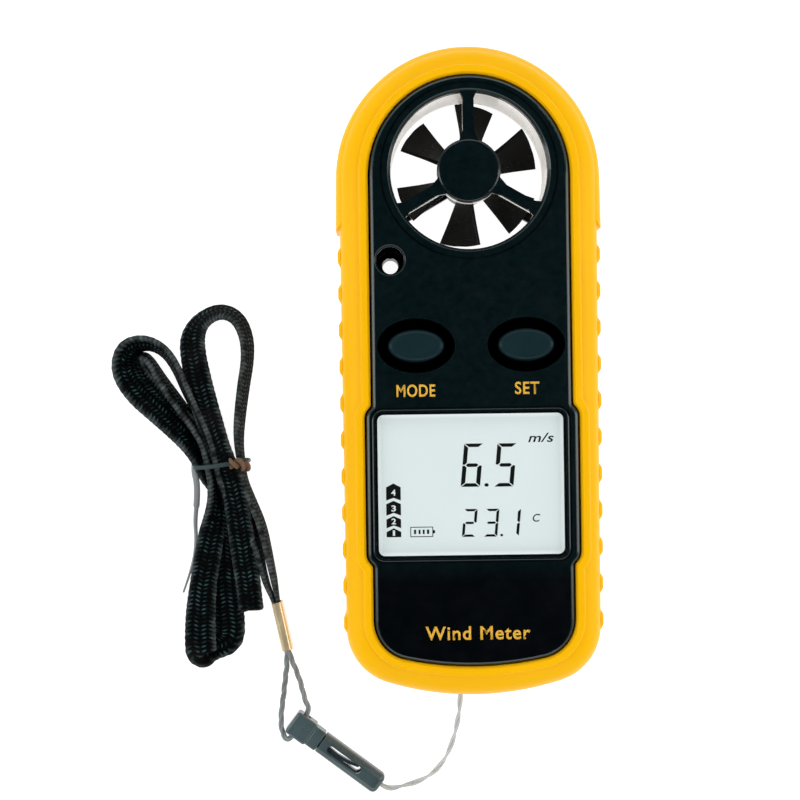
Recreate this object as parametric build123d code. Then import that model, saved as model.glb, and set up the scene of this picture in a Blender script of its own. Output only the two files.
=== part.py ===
from build123d import *
import os
from math import sin, cos, tan, radians, degrees, sqrt, atan2, hypot

os.makedirs("parts", exist_ok=True)

# ---------------------------------------------------------------- sizes (mm)
# The instrument lies on its back. +Z leaves the display face, +Y points to
# the impeller end, the origin is under the middle of the instrument.
LEN = 102.9            # overall length of the instrument
HEAD_Y = 31.1          # impeller axis
BOOT_Y = 30.5          # centre of the boot's round head
HEAD_R = 20.96         # boot radius round the impeller
BOOT_W = 20.45         # half width of the boot between the grip ribs, upper end
BOOT_W2 = 20.15        # and at the lower end
BOOT_TOP = 15.6        # boot front shoulder
RIM_TOP = 16.1         # raised rim beside the cover
BOTTOM_R = 46.0        # radius of the gently bowed bottom end
BOTTOM_Y = -51.43
FACE_BOTTOM = -46.05
CASE_W = 17.75         # half width of the plastic case inside the boot
CASE_TOP = 14.4        # case shoulder that the boot lip laps over
FACE_W = 15.55         # half width of the black face
BULGE_W = 16.55        # half width of the black face beside the display
FACE_TOP = 16.4        # face level
WALL = 1.5
SPLIT_Z = 8.0          # joint line between the front and rear covers
REAR_Z = 0.4           # rear cover face, just inside the boot lip
DUCT_R = 12.27         # inside of the impeller duct
HUB_R = 5.0            # hub of the front grille
SPOKE_W = 1.75
IMP_R = 11.3           # impeller tip radius
IMP_Z0, IMP_Z1 = 6.2, 11.2
BLADES = 6
BLADE_SPAN = 36.0      # degrees that each blade covers, seen from the front
BLADE_PHASE = 23.4
AXLE_R = 0.55
TEMP_X, TEMP_Y = -12.5, 17.2   # air-temperature hole
TEMP_R, TEMP_REAR_R = 2.15, 1.3
BTN_X, BTN_Y = 8.6, 3.85       # buttons at -x and +x
BTN_A, BTN_B = 4.38, 2.5       # button half axes
REC_A, REC_B = 6.15, 4.35      # half axes of the moat round a button
BTN_TRAVEL = 0.5
WIN_X, WIN_Y = -0.3, -17.9     # display window centre
WIN_W, WIN_H, WIN_R = 29.05, 22.05, 1.0   # what shows of the display
LENS_W, LENS_H, LENS_R = 29.65, 22.65, 1.3
CELL_Y, CELL_R, CELL_T = -19.5, 10.0, 3.2   # CR2032 coin cell
CAP_R = 11.0
RIB_PITCH, RIB_N, RIB_Y0 = 5.79, 11, 18.17
SCREWS = [(-13.6, 10.6), (13.6, 10.6), (-12.8, -41.6), (12.8, -41.6)]
BOARD_SCREWS = [(-11.6, -34.8), (11.6, -34.8)]

# lanyard
STRING_D = 0.9
LOOP_D = 0.95
BUCKLE_TAIL = Vector(-29.5, -57.1, 1.75)   # strap end of the buckle's axis
BUCKLE_HEAD = Vector(-15.3, -67.8, 1.75)   # string end of the buckle's axis


def face_of(edges):
    return make_face(Curve() + edges)


def outline(w, hy, hr, yb, rb, corner, step=None):
    """Closed outline: round head, straight sides, bowed bottom."""
    yc = yb + rb - sqrt(rb * rb - w * w)
    f = face_of([
        ThreePointArc((-hr, hy), (0, hy + hr), (hr, hy)),
        Polyline((hr, hy), (w, hy)) if abs(hr - w) > 1e-6 else Line((w, hy), (w, hy - 1)),
        Line((w, hy) if abs(hr - w) > 1e-6 else (w, hy - 1), (w, yc)),
        ThreePointArc((w, yc), (0, yb), (-w, yc)),
        Line((-w, yc), (-w, hy)),
    ] + ([Line((-w, hy), (-hr, hy))] if abs(hr - w) > 1e-6 else []))
    vs = [v for v in f.vertices() if v.Y < yb + 12]
    return fillet(vs, corner)


def plain(w, off=0.0):
    """Outline of the case or face, grown by off."""
    return outline(w + off, 30.4, w + off, FACE_BOTTOM - (w - FACE_W) - off, 50.4 + off,
                   6.0 + (w - FACE_W) + off)


def face_outline(off=0.0):
    """Black face: plain outline with the swelling beside the display."""
    b = Pos(0, -18.0) * RectangleRounded(2 * (BULGE_W + off), 25.1 + 2 * off, 2.0 + off)
    f = plain(FACE_W, off) + b
    vs = [v for v in f.vertices() if abs(abs(v.X) - (FACE_W + off)) < 0.02 and -32.5 < v.Y < -3.5]
    try:
        f = fillet(vs, 0.8)
    except Exception:
        pass
    return f


def slab(f, z0, z1):
    return extrude(Pos(0, 0, z0) * f, amount=z1 - z0, dir=(0, 0, 1))


def cyl(r, x, y, z0, z1):
    return Pos(x, y, z0) * Cylinder(r, z1 - z0, align=(Align.CENTER, Align.CENTER, Align.MIN))


def box(x0, x1, y0, y1, z0, z1):
    return Pos(x0, y0, z0) * Box(x1 - x0, y1 - y0, z1 - z0, align=(Align.MIN, Align.MIN, Align.MIN))


def rrect(x, y, w, h, r, z0, z1):
    return slab(Pos(x, y) * RectangleRounded(w, h, r), z0, z1)


def ell(x, y, a, b, z0, z1):
    return slab(Pos(x, y) * Ellipse(a, b), z0, z1)


def top_edges(s, z):
    return [e for e in s.edges() if abs(e.bounding_box().min.Z - z) < 1e-3 and abs(e.bounding_box().max.Z - z) < 1e-3]


def safe_fillet(s, edges, rs, what=""):
    for r in rs:
        try:
            t = fillet(edges, r)
            if t.is_valid and t.volume > 0:
                return t
        except Exception:
            continue
    print("fillet left out:", what)
    return s


def safe_chamfer(s, edges, rs, what=""):
    for r in rs:
        try:
            t = chamfer(edges, r)
            if t.is_valid and t.volume > 0:
                return t
        except Exception:
            continue
    print("chamfer left out:", what)
    return s


parts = {}

# ---------------------------------------------------------------- boot
yc = BOTTOM_Y + BOTTOM_R - sqrt(BOTTOM_R ** 2 - BOOT_W2 ** 2)
body = face_of([
    ThreePointArc((-BOOT_W, BOOT_Y), (0, BOOT_Y + BOOT_W), (BOOT_W, BOOT_Y)),
    Line((BOOT_W, BOOT_Y), (BOOT_W2, yc)),
    ThreePointArc((BOOT_W2, yc), (0, BOTTOM_Y), (-BOOT_W2, yc)),
    Line((-BOOT_W2, yc), (-BOOT_W, BOOT_Y)),
])
body = fillet([v for v in body.vertices() if v.Y < -30], 9.0)
boot = slab(body, 0, BOOT_TOP)
boot = safe_fillet(boot, top_edges(boot, BOOT_TOP), [4.6, 4.2, 3.6], "boot front")
boot = safe_fillet(boot, top_edges(boot, 0), [2.6, 2.0], "boot rear")
# the head is a little wider than the grip
hf = face_of([
    ThreePointArc((-HEAD_R, BOOT_Y), (0, BOOT_Y + HEAD_R), (HEAD_R, BOOT_Y)),
    Line((HEAD_R, BOOT_Y), (HEAD_R + 0.12, 22.4)),
    Line((HEAD_R + 0.12, 22.4), (-HEAD_R - 0.12, 22.4)),
    Line((-HEAD_R - 0.12, 22.4), (-HEAD_R, BOOT_Y)),
])
head = slab(hf, 1.6, 13.6)
head = safe_fillet(head, top_edges(head, 13.6), [2.8, 2.2], "boot head front")
head = safe_fillet(head, top_edges(head, 1.6), [1.4, 1.0], "boot head rear")
boot = boot + head
# soft grip ribs on both sides
for i in range(RIB_N):
    y = RIB_Y0 - i * RIB_PITCH
    w = BOOT_W + (BOOT_W2 - BOOT_W) * (BOOT_Y - y) / (BOOT_Y - yc)
    for sx in (-1, 1):
        f = make_face(Polyline((sx * (w - 1.0), y - 1.55), (sx * (w - 0.05), y - 1.55), (sx * (w + 0.4), y - 0.85),
                               (sx * (w + 0.4), y + 0.85), (sx * (w - 0.05), y + 1.55), (sx * (w - 1.0), y + 1.55), close=True))
        f = fillet([v for v in f.vertices() if abs(v.X) > w + 0.3], 0.9)
        rib = slab(f, 3.0, 12.2)
        boot = boot + safe_chamfer(rib, [e for e in rib.edges() if abs(e.bounding_box().min.Z - e.bounding_box().max.Z) < 1e-4 and abs(e.center().X) > w - 0.04],
                                   [0.4, 0.25], "rib")
# raised rim beside the black face
rim = slab(face_outline(1.75), BOOT_TOP - 1.5, RIM_TOP)
rim = safe_fillet(rim, top_edges(rim, RIM_TOP), [0.4, 0.3], "rim")
boot = boot + rim
boot = boot - slab(plain(CASE_W, 0.05), 1.4, CASE_TOP + 0.02)
opening = slab(face_outline(0.25), CASE_TOP - 1, RIM_TOP + 1)
boot = boot - opening
inner = face_outline(0.75)
boot = safe_chamfer(boot, [e for e in top_edges(boot, RIM_TOP) if inner.is_inside(Vector((e @ 0.5).X, (e @ 0.5).Y, 0))],
                    [0.35, 0.25], "rim inner edge")
boot = boot - slab(plain(FACE_W, 0.25), -1, 2)
# lanyard slot in the bottom end, crossed by a metal bar
SLOT_X, SLOT_Z = -2.0, 5.0
boot = boot - Pos(SLOT_X, -50.6, SLOT_Z) * Box(3.4, 4.0, 3.0)
boot = boot - Pos(SLOT_X, -50.05, SLOT_Z) * Rot(0, 90, 0) * Cylinder(0.6, 7.0)
parts["boot"] = boot
parts["lanyard_bar"] = Pos(SLOT_X, -50.05, SLOT_Z) * Rot(0, 90, 0) * Cylinder(0.58, 6.8)

# ---------------------------------------------------------------- front cover
fc = slab(plain(CASE_W), SPLIT_Z, CASE_TOP)
fc = safe_fillet(fc, top_edges(fc, CASE_TOP), [0.5], "case shoulder")
plat = slab(face_outline(0), CASE_TOP - 1.0, FACE_TOP)
plat = safe_fillet(plat, top_edges(plat, FACE_TOP), [0.6, 0.5], "face edge")
fc = fc + plat
fc = fc - slab(plain(CASE_W, -WALL), SPLIT_Z - 1, 12.8)
fc = fc - slab(face_outline(-WALL), 12.0, 14.9)
# raised frame round the display window and its groove
fr = rrect(WIN_X, WIN_Y, WIN_W + 1.7, WIN_H + 1.7, 1.8, FACE_TOP - 0.9, FACE_TOP + 0.3)
fr = safe_fillet(fr, top_edges(fr, FACE_TOP + 0.3), [0.28, 0.2], "frame")
gr = rrect(WIN_X, WIN_Y, WIN_W + 2.2, WIN_H + 2.2, 2.05, FACE_TOP - 0.3, FACE_TOP + 1) - rrect(WIN_X, WIN_Y, WIN_W + 1.7, WIN_H + 1.7, 1.8, FACE_TOP - 2, FACE_TOP + 2)
fc = fc - gr + fr
fc = fc - rrect(WIN_X, WIN_Y, LENS_W + 0.1, LENS_H + 0.1, LENS_R + 0.05, 15.6, 18)
fc = fc - rrect(WIN_X, WIN_Y, WIN_W, WIN_H, WIN_R, 14, 18)
fc = fc - rrect(WIN_X, WIN_Y, 29.75, 22.75, 0.9, 12.5, 15.35)
# duct opening with its ring groove
fc = fc - cyl(DUCT_R, 0, HEAD_Y, 12, 18)
fc = safe_chamfer(fc, [e for e in fc.edges().filter_by(GeomType.CIRCLE) if abs(e.radius - DUCT_R) < 0.01 and abs(e.center().Z - FACE_TOP) < 0.01], [0.5, 0.4], "duct mouth")
fc = fc - (cyl(13.95, 0, HEAD_Y, FACE_TOP - 0.3, 18) - cyl(13.6, 0, HEAD_Y, FACE_TOP - 1, 19))
# grille: three spokes and a hub
for a in (90, 210, 330):
    sp = Pos(0, HEAD_Y, 0) * Rot(0, 0, a) * box(0, DUCT_R + 0.8, -SPOKE_W / 2, SPOKE_W / 2, 15.0, 16.1)
    # flared root at the rim
    fl = face_of([Line((DUCT_R - 1.0, -SPOKE_W / 2), (DUCT_R + 0.8, -SPOKE_W / 2 - 0.8)), Line((DUCT_R + 0.8, -SPOKE_W / 2 - 0.8), (DUCT_R + 0.8, SPOKE_W / 2 + 0.8)),
                  Line((DUCT_R + 0.8, SPOKE_W / 2 + 0.8), (DUCT_R - 1.0, SPOKE_W / 2)), Line((DUCT_R - 1.0, SPOKE_W / 2), (DUCT_R - 1.0, -SPOKE_W / 2))])
    rt = Pos(0, HEAD_Y, 0) * Rot(0, 0, a) * slab(fl, 15.0, 16.1)
    fl2 = face_of([Line((3.0, -SPOKE_W / 2 - 1.2), (HUB_R + 1.3, -SPOKE_W / 2)), Line((HUB_R + 1.3, -SPOKE_W / 2), (HUB_R + 1.3, SPOKE_W / 2)),
                   Line((HUB_R + 1.3, SPOKE_W / 2), (3.0, SPOKE_W / 2 + 1.2)), Line((3.0, SPOKE_W / 2 + 1.2), (3.0, -SPOKE_W / 2 - 1.2))])
    rt2 = Pos(0, HEAD_Y, 0) * Rot(0, 0, a) * slab(fl2, 15.0, 16.1)
    fc = fc + sp + rt + rt2
hub = cyl(HUB_R, 0, HEAD_Y, 15.0, 16.2)
hub = safe_fillet(hub, top_edges(hub, 16.2), [0.5], "hub")
fc = fc + hub
# collar that carries the duct, screw posts, temperature tube
fc = fc - cyl(13.75, 0, HEAD_Y, 8, 14.9)
fc = fc + (cyl(14.9, 0, HEAD_Y, 12.0, 15.2) - cyl(13.75, 0, HEAD_Y, 11, 14.9) - cyl(DUCT_R, 0, HEAD_Y, 14.5, 16))
for x, y in SCREWS:
    fc = fc + cyl(2.0, x, y, SPLIT_Z + 0.02, 15.2) - cyl(0.7, x, y, SPLIT_Z - 1, 13.6)
for x, y in BOARD_SCREWS:
    fc = fc + cyl(1.7, x, y, 9.65, 15.2) - cyl(0.55, x, y, 8, 13.6)
fc = fc + cyl(3.2, TEMP_X, TEMP_Y, SPLIT_Z + 0.02, 15.6)
fc = fc - cyl(TEMP_R, TEMP_X, TEMP_Y, 0, 20)
fc = safe_chamfer(fc, [e for e in fc.edges().filter_by(GeomType.CIRCLE) if abs(e.radius - TEMP_R) < 0.01 and abs(e.center().Z - FACE_TOP) < 0.01], [0.35], "temperature hole")
# button recesses with a boss behind each
for sx in (-1, 1):
    x = sx * BTN_X
    fc = fc + ell(x, BTN_Y, REC_A + 0.75, REC_B + 0.75, 13.6, 15.25)
    rec = loft([Pos(x, BTN_Y, FACE_TOP + 0.5) * Ellipse(REC_A + 0.15, REC_B + 0.15), Pos(x, BTN_Y, FACE_TOP - 2.0) * Ellipse(REC_A - 0.45, REC_B - 0.45)], ruled=True)
    fc = fc - rec
    fc = fc - ell(x, BTN_Y, BTN_A + 0.15, BTN_B + 0.15, 13, 18)
# notch for the temperature bead's leads
fc = fc - box(TEMP_X - 0.6, TEMP_X + 0.6, TEMP_Y + 1.5, TEMP_Y + 3.6, SPLIT_Z - 1, SPLIT_Z + 0.7)
parts["front_cover"] = fc

# ---------------------------------------------------------------- rear cover
rc = slab(plain(CASE_W), 1.45, SPLIT_Z - 0.05)
rc = rc + slab(plain(FACE_W), REAR_Z, 3.0)
rc = safe_fillet(rc, top_edges(rc, REAR_Z), [0.6, 0.4], "rear edge")
rc = rc - slab(plain(CASE_W, -WALL), 2.9, SPLIT_Z + 1)
rc = rc - slab(plain(FACE_W, -WALL), 1.9, 3.2)
rc = rc - cyl(13.3, 0, HEAD_Y, -1, 4)
rc = safe_chamfer(rc, [e for e in rc.edges().filter_by(GeomType.CIRCLE) if abs(e.radius - 13.3) < 0.01 and abs(e.center().Z - REAR_Z) < 0.01], [0.5], "rear mouth")
rc = rc + (cyl(15.3, 0, HEAD_Y, 1.2, 3.6) & slab(plain(CASE_W, -0.5), 1, 4)) - cyl(14.55, 0, HEAD_Y, 1.7, 8) - cyl(13.3, 0, HEAD_Y, -1, 4)
# battery bay: counterbore, ledge with two notches, ring wall
rc = rc + cyl(13.0, 0, CELL_Y, 0.4, 2.4) - (cyl(14, 0, CELL_Y, 0, 0.4))
rc = rc + cyl(12.6, 0, CELL_Y, 2.0, 7.0)
rc = rc - cyl(CAP_R + 0.15, 0, CELL_Y, -1, 1.9)
rc = rc - cyl(CAP_R + 0.3, 0, CELL_Y, 2.4, 8)
rc = rc - cyl(10.2, 0, CELL_Y, 0, 5)
for a in (120, 300):
    pts = [(0, 0)] + [(14 * cos(radians(a + d)), 14 * sin(radians(a + d))) for d in (-24, 0, 24)]
    rc = rc - (Pos(0, CELL_Y, 0) * slab(make_face(Polyline(*pts, close=True)), 1.85, 2.5) & cyl(CAP_R + 0.15, 0, CELL_Y, 1, 3))
rc = rc - box(9.5, 14, CELL_Y - 2.2, CELL_Y + 2.2, 3.2, 8)
for x, y in SCREWS:
    rc = rc + cyl(2.3, x, y, 1.2, 4.0) + cyl(2.0, x, y, 1.2, SPLIT_Z - 0.05) - cyl(1.75, x, y, -1, 2.1) - cyl(0.85, x, y, -1, 9)
rc = rc + cyl(3.2, TEMP_X, TEMP_Y, 1.2, SPLIT_Z - 0.05) - cyl(TEMP_REAR_R, TEMP_X, TEMP_Y, -1, 9)
rc = rc - cyl(TEMP_R, TEMP_X, TEMP_Y, 5.6, 9)
rc = rc - box(TEMP_X - 0.6, TEMP_X + 0.6, TEMP_Y + 1.5, TEMP_Y + 3.6, SPLIT_Z - 0.7, SPLIT_Z + 1)
# shallow plate recess above the battery cap, and an arrow dimple beside the cap
rc = rc - rrect(0, 4.2, 21.0, 13.0, 1.2, -1, REAR_Z + 0.25)
rc = rc - cyl(0.6, 0, CELL_Y + CAP_R + 1.2, -1, REAR_Z + 0.3)
parts["rear_cover"] = rc

# ---------------------------------------------------------------- impeller duct
dz0, dz1 = 3.05, 14.85
duct = cyl(13.65, 0, HEAD_Y, dz0, dz1) + cyl(14.4, 0, HEAD_Y, dz0, 4.6)
duct = duct - cyl(DUCT_R, 0, HEAD_Y, 0, 20)
duct = duct - Pos(0, HEAD_Y, 2.0) * Cone(DUCT_R + 0.85, DUCT_R - 0.02, 4.0, align=(Align.CENTER, Align.CENTER, Align.MIN))
for a in (90, 210, 330):
    duct = duct + Pos(0, HEAD_Y, 0) * Rot(0, 0, a) * box(3, DUCT_R + 0.6, -0.85, 0.85, 13.5, dz1)
dhub = cyl(5.0, 0, HEAD_Y, 13.5, dz1) + cyl(3.2, 0, HEAD_Y, 12.4, dz1)
duct = duct + dhub - cyl(1.4, 0, HEAD_Y, 11, 13.9)
parts["vane_duct"] = duct

# rear bridge with its own bearing
rb = cyl(14.35, 0, HEAD_Y, 1.75, 3.0) - cyl(13.15, 0, HEAD_Y, 0, 6)
for a in (90, 210, 330):
    rb = rb + Pos(0, HEAD_Y, 0) * Rot(0, 0, a) * box(2.5, 13.6, -0.8, 0.8, 1.75, 3.0)
rb = rb + cyl(3.9, 0, HEAD_Y, 1.5, 3.9)
rb = rb - cyl(1.4, 0, HEAD_Y, 2.4, 6)
rb = rb - box(-3.1, -1.7, HEAD_Y - 1.2, HEAD_Y + 1.2, 2.9, 5)
parts["rear_bridge"] = rb
parts["pickup_sensor"] = box(-3.05, -1.75, HEAD_Y - 1.1, HEAD_Y + 1.1, 2.95, 3.95)


def bearing(z0, z1):
    return cyl(1.38, 0, HEAD_Y, z0, z1) - cyl(AXLE_R * 0.6 + 0.03, 0, HEAD_Y, z0 - 1, z1 + 1)


parts["front_bearing"] = bearing(12.45, 13.85)
parts["rear_bearing"] = bearing(2.45, 3.85)

# ---------------------------------------------------------------- impeller
imp = cyl(4.2, 0, HEAD_Y, 5.6, 11.4)
imp = safe_fillet(imp, top_edges(imp, 11.4), [0.9], "impeller hub")
imp = imp - cyl(3.3, 0, HEAD_Y, 5.0, 7.2)
zc = (IMP_Z0 + IMP_Z1) / 2
h = IMP_Z1 - IMP_Z0


def blade_section(r, t):
    half = r * sin(radians(BLADE_SPAN / 2))
    chord = hypot(2 * half, h) - t
    ang = degrees(atan2(h, 2 * half))
    pl = Plane(origin=(r * cos(radians(BLADE_SPAN / 2)) * 0 + r, 0, zc), x_dir=(0, 1, 0), z_dir=(1, 0, 0))
    return pl * Rot(0, 0, ang) * RectangleRounded(chord, t, t * 0.45)


for k in range(BLADES):
    secs = [blade_section(3.75, 0.85), blade_section(7.5, 0.65), blade_section(IMP_R * cos(radians(5)), 0.5)]
    bl = loft(secs, ruled=True)
    bl = bl & cyl(IMP_R, 0, 0, 0, 20)
    imp = imp + Pos(0, HEAD_Y, 0) * Rot(0, 0, BLADE_PHASE + 60 * k) * bl
imp = imp - cyl(AXLE_R, 0, HEAD_Y, 0, 20)
parts["impeller"] = imp
ax = cyl(AXLE_R, 0, HEAD_Y, 4.2, 12.1) + cyl(AXLE_R * 0.6, 0, HEAD_Y, 2.6, 13.7)
parts["impeller_axle"] = ax
parts["rotor_magnet"] = cyl(3.3, 0, HEAD_Y, 5.2, 7.2) - cyl(AXLE_R, 0, HEAD_Y, 5, 8)

# ---------------------------------------------------------------- temperature bead
th = Pos(TEMP_X, TEMP_Y + 1.5, SPLIT_Z) * Sphere(0.58)
th = th + Pos(TEMP_X, TEMP_Y + 2.55, SPLIT_Z) * Rot(90, 0, 0) * Cylinder(0.4, 1.9)
parts["temperature_sensor"] = th

# ---------------------------------------------------------------- display
lens = rrect(WIN_X, WIN_Y, LENS_W, LENS_H, LENS_R, 15.62, 16.3)
parts["display_lens"] = safe_fillet(lens, top_edges(lens, 16.3), [0.2], "lens")
parts["display_glass"] = rrect(WIN_X, WIN_Y, 29.6, 22.6, 0.8, 13.65, 15.3)
parts["display_reflector"] = rrect(WIN_X, WIN_Y, 27.6, 18.4, 0.3, 12.95, 13.6)
holder = rrect(WIN_X, WIN_Y, 29.6, 22.6, 0.8, 9.65, 13.6)
holder = holder - rrect(WIN_X, WIN_Y, 27.8, 18.6, 0.3, 12.9, 14.5) - box(WIN_X - 12.6, WIN_X + 12.6, WIN_Y - 10.65, WIN_Y - 9.55, 9, 15) - box(WIN_X - 12.0, WIN_X + 12.0, WIN_Y - 8.0, WIN_Y + 8.0, 9, 15)
parts["display_holder"] = holder
parts["zebra_strip"] = box(WIN_X - 12.5, WIN_X + 12.5, WIN_Y - 10.6, WIN_Y - 9.6, 9.62, 13.63)

# ---------------------------------------------------------------- electronics
pcb = rrect(0, -15.05, 29.2, 46.7, 1.0, 8.6, 9.6)
for x, y in BOARD_SCREWS:
    pcb = pcb - cyl(0.75, x, y, 8, 10)
parts["circuit_board"] = pcb
bs = None
for x, y in BOARD_SCREWS:
    s = cyl(1.3, x, y, 7.75, 8.58) + cyl(0.53, x, y, 8.4, 13.2)
    s = s - Pos(x, y, 7.75) * Box(1.5, 0.35, 0.6) - Pos(x, y, 7.75) * Box(0.35, 1.5, 0.6)
    bs = s if bs is None else Compound(children=[bs, s])
parts["board_screws"] = bs
for nm, sx in (("mode_switch", -1), ("set_switch", 1)):
    x = sx * BTN_X
    sw = box(x - 2.25, x + 2.25, BTN_Y - 1.7, BTN_Y + 1.7, 9.62, 11.2)
    sw = sw + cyl(1.1, x, BTN_Y, 11.1, 11.75)
    parts[nm] = sw
chip = box(-3.6, 3.6, -5.6, 1.6, 7.75, 8.58)
for i in range(7):
    yy = -4.8 + i * 0.93
    chip = chip + box(-4.6, -3.5, yy - 0.17, yy + 0.17, 8.3, 8.58) + box(3.5, 4.6, yy - 0.17, yy + 0.17, 8.3, 8.58)
parts["processor_chip"] = chip
parts["crystal"] = Pos(9.0, -1.8, 7.75) * Rot(90, 0, 0) * Cylinder(0.8, 6.0)

# ---------------------------------------------------------------- battery
cell = cyl(CELL_R, 0, CELL_Y, 3.2, 3.2 + CELL_T - 0.45) + cyl(8.9, 0, CELL_Y, 3.2, 3.2 + CELL_T)
cell = safe_fillet(cell, top_edges(cell, 3.2), [0.4], "cell")
parts["coin_cell"] = cell
neg = box(-2.0, 2.0, CELL_Y - 6.0, CELL_Y + 6.0, 8.25, 8.58) + \
    Pos(0, CELL_Y, 7.5) * Rot(14, 0, 0) * Box(2.4, 7.6, 0.25)
neg = neg + box(-1.2, 1.2, CELL_Y + 2.9, CELL_Y + 3.9, 8.2, 8.5)
parts["battery_contact_negative"] = neg
pos = box(10.1, 10.45, CELL_Y - 1.8, CELL_Y + 1.8, 3.6, 8.55) + box(10.1, 12.2, CELL_Y - 1.8, CELL_Y + 1.8, 8.25, 8.58)
parts["battery_contact_positive"] = pos
cap = cyl(CAP_R, 0, CELL_Y, 0.45, 1.45)
cap = safe_chamfer(cap, top_edges(cap, 0.45), [0.3], "cap rim")
cap = cap + cyl(10.0, 0, CELL_Y, 1.4, 3.0)
for a in (0, 180):
    pts = [(0, 0)] + [(14 * cos(radians(a + d)), 14 * sin(radians(a + d))) for d in (-19, 0, 19)]
    cap = cap + (Pos(0, CELL_Y, 0) * slab(make_face(Polyline(*pts, close=True)), 2.5, 3.0) & cyl(CAP_R - 0.05, 0, CELL_Y, 2, 3.2))
cap = cap - cyl(8.6, 0, CELL_Y, 2.0, 4)
cap = cap - (Pos(0, CELL_Y, 0.4) * Rot(0, 0, 90) * slab(SlotOverall(17.0, 2.2), 0, 0.95))
parts["battery_cap"] = cap
parts["battery_cap_seal"] = cyl(CAP_R + 0.05, 0, CELL_Y, 1.48, 1.82) - cyl(10.05, 0, CELL_Y, 1, 3)

# ---------------------------------------------------------------- buttons
for nm, sx in (("mode_button", -1), ("set_button", 1)):
    x = sx * BTN_X
    b = ell(x, BTN_Y, BTN_A, BTN_B, 13.0, 16.25)
    b = safe_fillet(b, top_edges(b, 16.25), [0.7, 0.5, 0.3], "button")
    b = b + ell(x, BTN_Y, BTN_A + 0.85, BTN_B + 0.85, 12.8, 13.55)
    b = b + cyl(1.2, x, BTN_Y, 12.3, 13.2)
    parts[nm] = b

# ---------------------------------------------------------------- case screws
cs = None
for x, y in SCREWS:
    s = cyl(1.6, x, y, 0.95, 2.05) + cyl(0.68, x, y, 1.8, 12.6)
    s = safe_chamfer(s, top_edges(s, 0.95), [0.25], "screw")
    s = s - Pos(x, y, 0.95) * Box(1.9, 0.42, 1.1) - Pos(x, y, 0.95) * Box(0.42, 1.9, 1.1)
    cs = s if cs is None else Compound(children=[cs, s])
parts["case_screws"] = cs

# ---------------------------------------------------------------- lanyard buckle
U = (BUCKLE_HEAD - BUCKLE_TAIL).normalized()
BL = (BUCKLE_HEAD - BUCKLE_TAIL).length
BP = Plane(origin=BUCKLE_TAIL, x_dir=U, z_dir=(0, 0, 1))   # local x along the buckle, y across


def lbox(x0, x1, w, hh, r=0.0):
    b = Pos((x0 + x1) / 2, 0, 0) * Box(x1 - x0, w, hh)
    if r:
        b = safe_fillet(b, list(b.edges()), [r, r * 0.7], "buckle block")
    return b


plug = lbox(-0.2, 3.7, 4.1, 3.3, 0.45)
plug = plug + lbox(3.6, 5.6, 3.5, 3.0, 0.3)
for sy in (-1, 1):
    prong = Pos(0, sy * 0.75, 0) * lbox(5.4, 13.2, 0.55, 1.5)
    barb = Pos(0, sy * 0.85, 0) * lbox(11.2, 13.4, 0.8, 1.5, 0.2)
    plug = plug + prong + barb
plug = plug - Pos(1.5, 0, 0) * Rot(90, 0, 0) * Cylinder(0.7, 8)
parts["buckle_plug"] = BP * plug
sock = Pos((5.75 + BL) / 2, 0, 0) * Box(BL - 5.75, 3.6, 3.2)
sock = safe_fillet(sock, [e for e in sock.edges().filter_by(Axis.X)], [1.1, 0.9], "socket")
sock = safe_fillet(sock, [e for e in sock.edges() if e.center().X > BL - 1.0], [0.9, 0.6, 0.4], "socket end")
sock = sock - Pos((5.0 + 14.2) / 2, 0, 0) * Box(14.2 - 5.0, 2.7, 1.9)
sock = sock - Pos(10.4, 0, 0) * slab(SlotOverall(6.6, 1.3), -3, 3)
sock = sock - Pos(BL - 1.2, 0, 0) * Rot(0, 90, 0) * Cylinder(STRING_D / 2 + 0.02, 4)
parts["buckle_socket"] = BP * sock

# ---------------------------------------------------------------- cords


def tube(name, pts, d, tight=()):
    """Straight runs joined by tangent arcs as large as the runs allow."""
    vs = [Vector(*p) for p in pts]
    radii = []
    for i in range(1, len(vs) - 1):
        a, b = vs[i] - vs[i - 1], vs[i + 1] - vs[i]
        turn = radians(a.get_angle(b))
        run = min(a.length, b.length)
        radii.append(0.45 * run / tan(turn / 2))
    path = FilletPolyline(*vs, radius=radii)
    start = Plane(origin=vs[0], z_dir=(vs[1] - vs[0]))
    s = sweep(start * Circle(d / 2), path=path)
    ideal = 3.14159265 * (d / 2) ** 2 * path.length
    print(name, "radii", [round(r, 1) for r in radii], "length", round(path.length, 1), "volume", round(s.volume, 2), "of", round(ideal, 2),
          "lowest", round(s.bounding_box().min.Z, 2))
    return s


# over the bar in the boot's slot, out of the slot and round to the buckle
STRING = [(-2.0, -48.95, 6.04), (-2.0, -51.1, 6.03), (-2.1, -53.6, 5.2), (-2.35, -56.4, 3.6), (-2.85, -59.4, 1.7), (-3.6, -62.0, 0.75),
          (-4.8, -64.4, 0.55), (-6.6, -66.4, 0.5), (-9.0, -67.7, 0.55), (-11.6, -68.3, 0.85), (-13.75, -68.62, 1.5)]
TIP = BP * Pos(BL + 0.02, 0, 0)
STRING = STRING + [tuple(TIP.position), tuple(Vector(TIP.position) - U * 2.9)]
parts["lanyard_string"] = tube("lanyard_string", STRING, STRING_D)

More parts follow.
